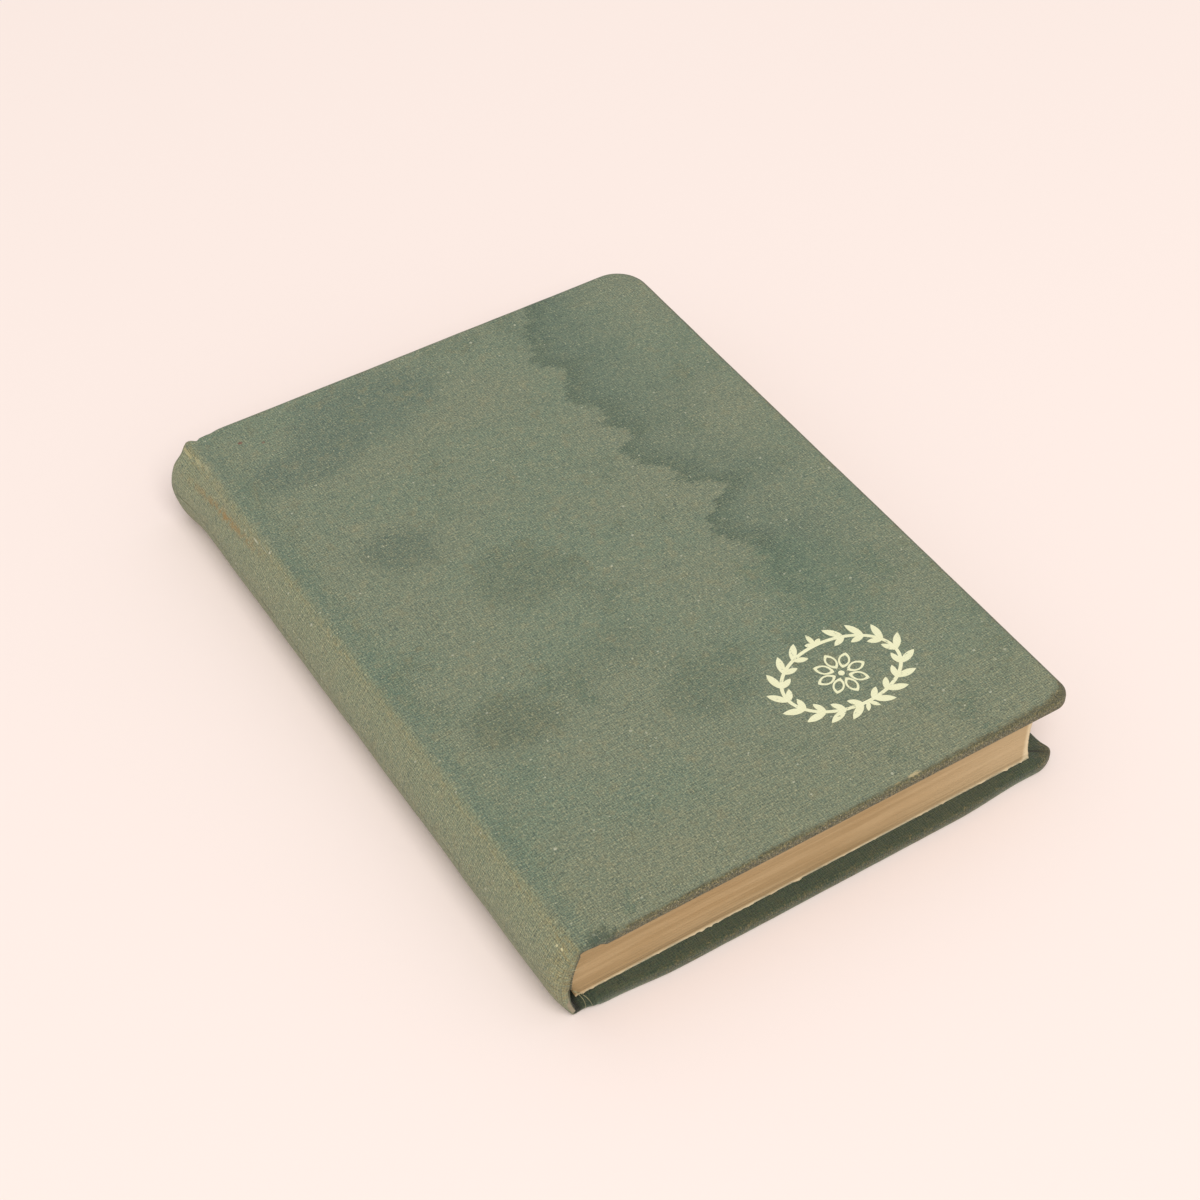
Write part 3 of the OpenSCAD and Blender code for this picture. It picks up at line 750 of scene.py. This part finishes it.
        # Share of grime and painted shade: over the board it rises with depth under the face, and at the
        # spine's ends it goes up to 2 for a painted shadow in the tucks
        if x > 11:
            vert[grime_and_shade] = float(smooth((depth - 0.5) / 1.5))
        elif kind_v != "flat":
            inner = 2 if kind_v == "tuck" else 2 * float(smooth(at_v * 2 - 0.5))
            vert[grime_and_shade] = inner * (0.45 + 0.55 * float(1 - smooth((x - 5.5) / 2.5)))
        to_fore = board_end - x
        band = 1 + 1.7 * float(smooth((x - 95) / 35)) + 0.4 * rough(x, 0, 0, 17)
        on_board = float(smooth((x - 9) / 14))
        wear = max(0, 1 - 0.8 * y / band) if side == FRONT else 0.3 * max(0, 1 - y / 1.6)
        wear *= 0.45 + 0.55 * on_board
        wear += 0.5 * max(0, 1 - to_fore / 1.3) + 0.35 * on_board * max(0, 1 - (COVER_H - y) / 1.2)
        wear += 0.8 * max(0, 1 - math.hypot(to_fore - 1, y - 1) / 6)
        wear += 0.3 * max(0, 1 - math.hypot(to_fore - 1, COVER_H - 1 - y) / 7)
        vert[worn] = min(1, wear)
        # A line of rust-coloured wear that slants over the spine near its head
        off_line = flat_u - 6.6 - 0.085 * (185 - y)
        if side == FRONT:
            vert[rust] = 1.3 * math.exp(-(off_line / 1.15) ** 2) * max(0, 1 - abs(y - 165) / 24)
        outline = math.exp(-((z - 6.2) / 1.3) ** 2) if side == BACK and x < 4 else 0
        cap = math.exp(-((x - 4.6) / 0.7) ** 2) * max(0, 1 - abs(y - 187) / 8)
        streaks = 1.3 * max(0, 1 - y / 11) if x < 6 and z > 8 else 0
        line = math.exp(-((x - 4.9) / 0.8) ** 2) * along_spine
        vert[straw] = min(1.2, outline * along_spine + line + cap + streaks)
        vert.co = (x, y, z)
    for face in mesh.faces:
        for loop in face.loops:
            u, v = flat_place[loop.vert]
            loop[chart].uv = (u / CHART, v / CHART)
            u, v = seen_place[loop.vert]
            loop[seen_chart].uv = (u / CHART, v / CHART)
    if side == BACK:
        bmesh.ops.reverse_faces(mesh, faces=mesh.faces)
    mesh.normal_update()
    soften(mesh, side)
    bmesh.ops.remove_doubles(mesh, verts=mesh.verts, dist=0.002)
    bmesh.ops.transform(mesh, matrix=TO_ROW, verts=mesh.verts)
    return finished(mesh, name)


def soften(mesh, side):
    """Small swellings, puckers and dents of old cloth, along the surface's own normals."""
    moves = {}
    for vert in mesh.verts:
        x, y, z = vert.co
        lift = 0.05 * rough(x, y, z, 16) + 0.03 * rough(x, y, z + 50, 5)
        if x < 13:
            on_spine = float(1 - smooth((x - 10) / 3))
            lift += (0.1 * rough(x * 2.2, y * 0.5, z, 5) + 0.12 * rough(x, y * 0.8, z, 12)) * on_spine
            lift += 0.14 * rough(3, y, 9, 5) * math.exp(-((x - 4.6) / 1.2) ** 2)
        if side == FRONT:
            lift += 0.4 * math.exp(-((x - 7) / 1.8) ** 2 - ((y - 145.5) / 3.6) ** 2)
        lift += 1.1 * float(smooth((y - 176) / 12) * (1 - smooth((x - 1.6) / 2.6)))
        if x > 9:
            # The turned-in part lies flat under the endpaper
            depth = BOOK_T - z if side == FRONT else z
            lift *= float(1 - smooth((depth - 1.6) / 1.2))
        moves[vert] = vert.normal * lift
        if side == FRONT and y > COVER_H - 6:
            pull = float(smooth((y - COVER_H + 6) / 5))
            up = math.exp(-((x - 4.8) / 1.4) ** 2)
            down = math.exp(-((x - 7.8) / 0.8) ** 2)
            moves[vert].y += pull * (0.9 * up - 0.9 * down)
    for vert, move in moves.items():
        vert.co += move


# ---------------------------------------------------------------- the leaves


def page_leaves():
    """The block of leaves: its four sides are one wall of thin layers that stand a little in or out."""
    rows = 120
    tail_n, fore_n, back_n = 200, 96, 60
    around = 2 * tail_n + fore_n + back_n
    mesh = bmesh.new()
    bmesh.ops.create_grid(mesh, x_segments=around, y_segments=rows, size=0.5)
    torn = mesh.verts.layers.float.new("torn")
    low, high = PAGE_LOW, BOOK_T - PAGE_LOW
    half = BOOK_T / 2 - 3.4
    for vert in mesh.verts:
        k = round((vert.co.x + 0.5) * around) % around
        j = round((vert.co.y + 0.5) * rows)
        z = low + (high - low) * j / rows
        s = (z - BOOK_T / 2) / half
        dome = 1 - s * s
        low_down = 1 - (z - low) / (high - low)
        x0 = HOLLOW_W - BACK_ROUND * dome + LEAN * (z / BOOK_T - 0.5) - 1.2 * low_down * low_down
        x1 = PAGE_END - FORE_HOLLOW * dome
        y0, y1 = SQUARE, COVER_H - SQUARE
        if k < tail_n:
            x, y, out = x0 + (x1 - x0) * k / tail_n, y0, (0, -1)
        elif k < tail_n + fore_n:
            x, y, out = x1, y0 + (y1 - y0) * (k - tail_n) / fore_n, (1, 0)
        elif k < 2 * tail_n + fore_n:
            x, y, out = x1 - (x1 - x0) * (k - tail_n - fore_n) / tail_n, y1, (0, 1)
        else:
            x, y, out = x0, y1 - (y1 - y0) * (k - 2 * tail_n - fore_n) / back_n, (-1, 0)
        layer = noise.noise(Vector((j * 0.83, 0.3, 7.7)))
        group = noise.noise(Vector((j * 0.11, 5.3, 1.1)))
        drift = noise.noise(Vector((x * 0.012, y * 0.012, j * 0.35)))
        lift = -0.05 + 0.05 * layer + 0.06 * group + 0.07 * drift
        ragged = max(0, 1 - (z - low) / 0.55)
        if ragged > 0 and out[0] != -1:
            tooth = noise.noise(Vector((x * 0.9, y * 0.9, 2)))
            tooth += 0.6 * noise.noise(Vector((x * 0.25, y * 0.25, 4)))
            lift += ragged * (0.22 + 0.34 * tooth * (0.4 + ragged))
            vert[torn] = ragged
        vert.co = (x + out[0] * lift, y + out[1] * lift, z)
    bmesh.ops.remove_doubles(mesh, verts=mesh.verts, dist=0.0001)
    rims = [e for e in mesh.edges if e.is_boundary]
    bmesh.ops.holes_fill(mesh, edges=rims, sides=0)
    bmesh.ops.transform(mesh, matrix=TO_ROW, verts=mesh.verts)
    bmesh.ops.recalc_face_normals(mesh, faces=mesh.faces)
    return finished(mesh, "leaves")


def endpaper_fold(name, side):
    """The strip of endpaper between the pasted-down half on the board and the flyleaf on the leaves."""
    mesh = bmesh.new()
    stations = [FOLD_START] + [FOLD_START + FOLD_GLUED + FOLD_BEND * t for t in FOLD_ROWS]
    stations += list(np.linspace(stations[-1], BOARD_X + 1.2, 9))[1:]
    segments_x, segments_y = len(stations) - 1, 60
    bmesh.ops.create_grid(mesh, x_segments=segments_x, y_segments=segments_y, size=0.5)
    shift = side * LEAN / 2
    for vert in mesh.verts:
        t = vert.co.x + 0.5
        y = SQUARE + (COVER_H - 2 * SQUARE) * (vert.co.y + 0.5)
        x = stations[round(t * segments_x)] + shift
        depth = ENDPAPER_DEPTH - 0.02 * math.sin(math.pi * t)
        vert.co = (x, y, BOOK_T - depth if side == FRONT else depth)
    bmesh.ops.transform(mesh, matrix=TO_ROW, verts=mesh.verts)
    bmesh.ops.recalc_face_normals(mesh, faces=mesh.faces)
    return finished(mesh, name)


def thread(mesh, points, radius):
    """One loose thread along points in millimetres, added to a mesh as a thin tube."""
    sides, steps = 5, 18
    marks = np.linspace(0, 1, len(points))
    # A cubic through the points
    bend = [np.polyfit(marks, [p[k] for p in points], min(3, len(points) - 1)) for k in range(3)]
    made = bmesh.ops.create_grid(mesh, x_segments=steps, y_segments=sides, size=0.5)["verts"]
    for vert in made:
        t, turn = vert.co.x + 0.5, (vert.co.y + 0.5) * 2 * math.pi
        middle = Vector([float(np.polyval(c, t)) for c in bend])
        run = Vector([float(np.polyval(np.polyder(c), t)) for c in bend]).normalized()
        across = run.orthogonal().normalized()
        width = radius * (1 - 0.7 * t)
        vert.co = middle + width * (across * math.cos(turn) + run.cross(across) * math.sin(turn))


def frayed_threads():
    """Threads that have come loose from the cloth at the spine's two ends."""
    mesh = bmesh.new()
    thread(mesh, [(5.4, 2.5, 7.1), (7.1, 2.2, 5.2), (8.1, 0.7, 4.3), (8.2, -1, 3.6)], 0.13)
    thread(mesh, [(5.6, 2.4, 6.7), (6.9, 1.9, 4.8), (7.2, 0.5, 3.8), (6.3, -0.8, 3.2)], 0.1)
    thread(mesh, [(3.4, 1.2, 17.5), (4, 0.2, 18.2), (5.2, 0, 18), (6, 0.7, 17.4)], 0.09)
    at_head = [(190.4, 4.3, 0.7), (188.6, 4.7, -0.5), (186.7, 4.8, 0.9), (184.9, 5, -0.6), (183.2, 5.2, 0.6)]
    for y, x, lean in at_head:
        z = 22.3 + 0.35 * (x - 4.3)
        thread(mesh, [(x, y, z), (x + 0.3, y + lean * 0.5, z + 0.3), (x + 0.5, y + lean, z + 0.22)], 0.08)
    bmesh.ops.remove_doubles(mesh, verts=mesh.verts, dist=0.002)
    bmesh.ops.recalc_face_normals(mesh, faces=mesh.faces)
    bmesh.ops.transform(mesh, matrix=TO_ROW, verts=mesh.verts)
    return finished(mesh, "frayed_threads")


# ---------------------------------------------------------------- the pieces

front_half = painted_with(cloth_half("case_cloth_front", FRONT), book_cloth("stained_book_cloth", True))
back_half = painted_with(cloth_half("case_cloth_back", BACK), book_cloth("plain_book_cloth", False))
# The back of the cloth inside its wall: the brown of glued cloth, darkened further as painted shade for the
# hollow at the spine's ends
cloth_back_in_painted_shade = old_paper("glued_cloth_back_in_painted_shade", srgb(84, 78, 58), srgb(56, 52, 38))


for half, side, body in ((front_half, FRONT, "front_cover"), (back_half, BACK, "back_cover")):
    half.data.materials.append(cloth_back_in_painted_shade)
    wall = half.modifiers.new("cloth_wall", "SOLIDIFY")
    wall.thickness = CLOTH_WALL * MM
    wall.offset = -1
    wall.material_offset = 1
    if side == FRONT:
        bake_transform(half)
    else:
        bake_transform(half)
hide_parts("front_cloth", "spine_cloth")
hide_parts("back_cloth", "spine_cloth")

leaves = painted_with(page_leaves(), leaf_edges())
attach(leaves, "text_block")
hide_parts("page_block")

threads = painted_with(frayed_threads(), old_paper("loose_thread", srgb(206, 198, 158), srgb(160, 152, 116)))
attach(threads, "text_block")

endpaper = old_paper("endpaper", srgb(226, 212, 180), srgb(214, 198, 163))
folds = (("front_endpaper_fold", FRONT, "front_cover"), ("back_endpaper_fold", BACK, "back_cover"))
for name, side, body in folds:
    fold = painted_with(endpaper_fold(name, side), endpaper)
    wall = fold.modifiers.new("paper_wall", "SOLIDIFY")
    wall.thickness = PAPER_WALL * MM
    wall.offset = 0
    if side == FRONT:
        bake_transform(fold)
    else:
        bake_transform(fold)

mull = open_mull()
card = old_paper("grey_card", srgb(168, 158, 136), srgb(138, 128, 106))
straw_board = old_paper("straw_board", srgb(172, 146, 98), srgb(142, 116, 74))
brown_paper = old_paper("brown_paper", srgb(158, 122, 84), srgb(128, 96, 62))
finishes = {
    "front_flyleaf": endpaper, "back_flyleaf": endpaper,
    "front_pastedown": endpaper, "back_pastedown": endpaper,
    "spine_mull": mull, "front_mull_flange": mull, "back_mull_flange": mull,
    "spine_lining": brown_paper, "spine_liner": card, "front_board": straw_board, "back_board": straw_board,
    "foil_stamp": pale_foil()}
for node, material in finishes.items():
    painted_with(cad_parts[node], material)

# ---------------------------------------------------------------- floor, light and camera

mesh = bmesh.new()
bmesh.ops.create_grid(mesh, x_segments=1, y_segments=1, size=3)
floor = finished(mesh, "floor")
floor_paper, _, shader = new_material("pale_floor", 0.9)
shader.inputs["Base Color"].default_value = srgb(253, 237, 230)
shader.inputs["Specular IOR Level"].default_value = 0
painted_with(floor, floor_paper)

world = bpy.data.worlds.new("studio")
bpy.context.scene.world = world
world.use_nodes = True
g = Graph(world.node_tree)
sky = world.node_tree.nodes["Background"]
sky.inputs["Color"].default_value = (1, 0.985, 0.97, 1)
sky.inputs["Strength"].default_value = 0.6
backdrop = g.node("ShaderNodeBackground")
backdrop.inputs["Color"].default_value = srgb(253, 238, 231)
rays = g.node("ShaderNodeLightPath")
seen = g.calc("MAXIMUM", rays.outputs["Is Camera Ray"],
              g.calc("MAXIMUM", rays.outputs["Is Glossy Ray"], rays.outputs["Is Transmission Ray"]))
either = g.node("ShaderNodeMixShader")
g.plug(either.inputs[0], seen)
g.plug(either.inputs[1], sky.outputs[0])
g.plug(either.inputs[2], backdrop.outputs[0])
g.plug(world.node_tree.nodes["World Output"].inputs["Surface"], either.outputs[0])


def soft_lamp(name, place, size, power):
    """A round soft lamp that shines at the book."""
    data = bpy.data.lights.new(name, "AREA")
    data.shape = "DISK"
    data.size = size
    data.energy = power
    lamp = bpy.data.objects.new(name, data)
    lamp.location = place
    lamp.rotation_mode = "QUATERNION"
    lamp.rotation_quaternion = Vector(place).to_track_quat("Z", "Y")
    bpy.context.scene.collection.objects.link(lamp)


soft_lamp("key_lamp", (-0.6, -2.4, 3.6), 3, 110)

# The photo's camera, as solved from the book's own edges: lens, place in the book's millimetres, directions
LENS = 71.35
CAMERA_AT = (-146.0, -255.7, 434.6)
CAMERA_RIGHT = (0.8459, -0.5333, -0.0087)
CAMERA_FORWARD = (0.3673, 0.5942, -0.7155)

camera_data = bpy.data.cameras.new("camera")
camera_data.sensor_width = 36
camera_data.lens = LENS
camera = bpy.data.objects.new("camera", camera_data)
right = Vector(CAMERA_RIGHT).normalized()
forward = Vector(CAMERA_FORWARD).normalized()
up = right.cross(forward)
placed = Matrix((right, up, -forward)).transposed().to_4x4()
placed.translation = Vector(row_point(*CAMERA_AT))
camera.matrix_world = placed
bpy.context.scene.collection.objects.link(camera)
bpy.context.scene.camera = camera
bpy.context.scene.view_settings.view_transform = "Standard"
